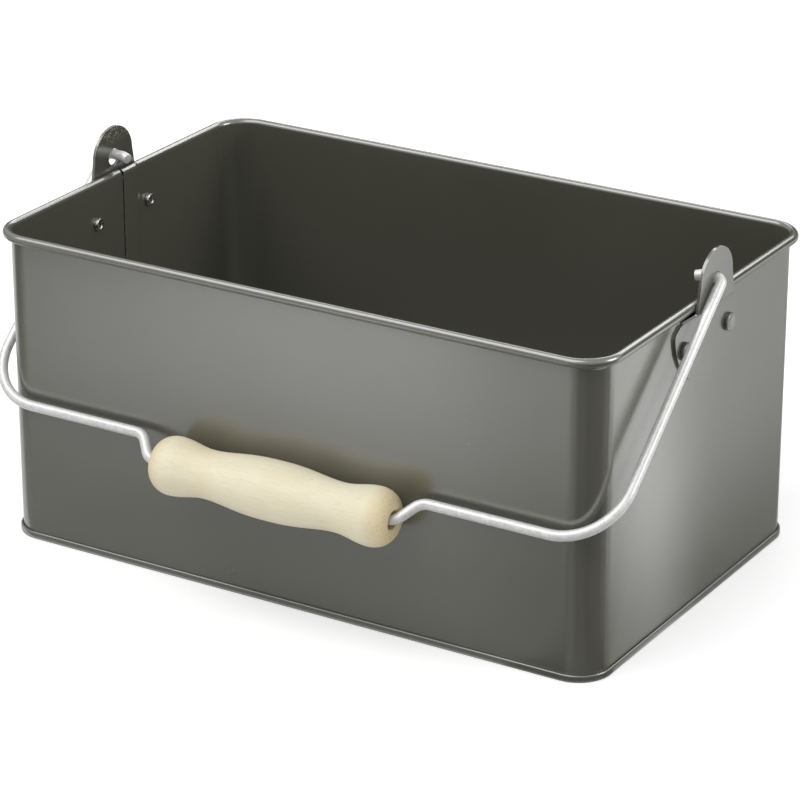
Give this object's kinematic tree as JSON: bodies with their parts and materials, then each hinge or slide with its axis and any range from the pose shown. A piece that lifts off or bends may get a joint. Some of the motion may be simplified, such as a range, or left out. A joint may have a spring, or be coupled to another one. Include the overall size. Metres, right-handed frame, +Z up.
{
  "type": "tool storage caddy",
  "caption": "Open rectangular sheet-steel tool caddy with a rolled rim and a swinging wire bail that carries a turned wooden grip.",
  "frame": {"origin": "centre of the base, on the surface that the caddy stands on", "axes": "+X along the long walls, +Y away from the wall that the lowered handle rests on, +Z up"},
  "size_m": [0.308, 0.2094, 0.1595],
  "materials": {
    "painted_sheet": "semi-gloss",
    "rivet_steel": "satin",
    "zinc_wire": "bright zinc",
    "turned_wood": "sanded"
  },
  "bodies": {
    "box": {"side_wall": "painted_sheet", "base_pan": "painted_sheet", "ear_left": "painted_sheet", "ear_right": "painted_sheet", "rivet_left_front": "rivet_steel", "rivet_left_back": "rivet_steel", "rivet_right_front": "rivet_steel", "rivet_right_back": "rivet_steel"},
    "bail": {"bail_wire": "zinc_wire"},
    "grip_body": {"grip": "turned_wood"}
  },
  "joints": [
    {"name": "bail_swing", "type": "hinge", "parent": "box", "child": "bail", "pos_m": [0, 0, 0.1467], "axis": [-1, 0, 0], "range_deg": [0, 261.2]},
    {"name": "grip_spin", "type": "hinge", "parent": "bail", "child": "grip_body", "pos_m": [0, -0.10305, 0.05826], "axis": [1, 0, 0], "continuous": true}
  ]
}
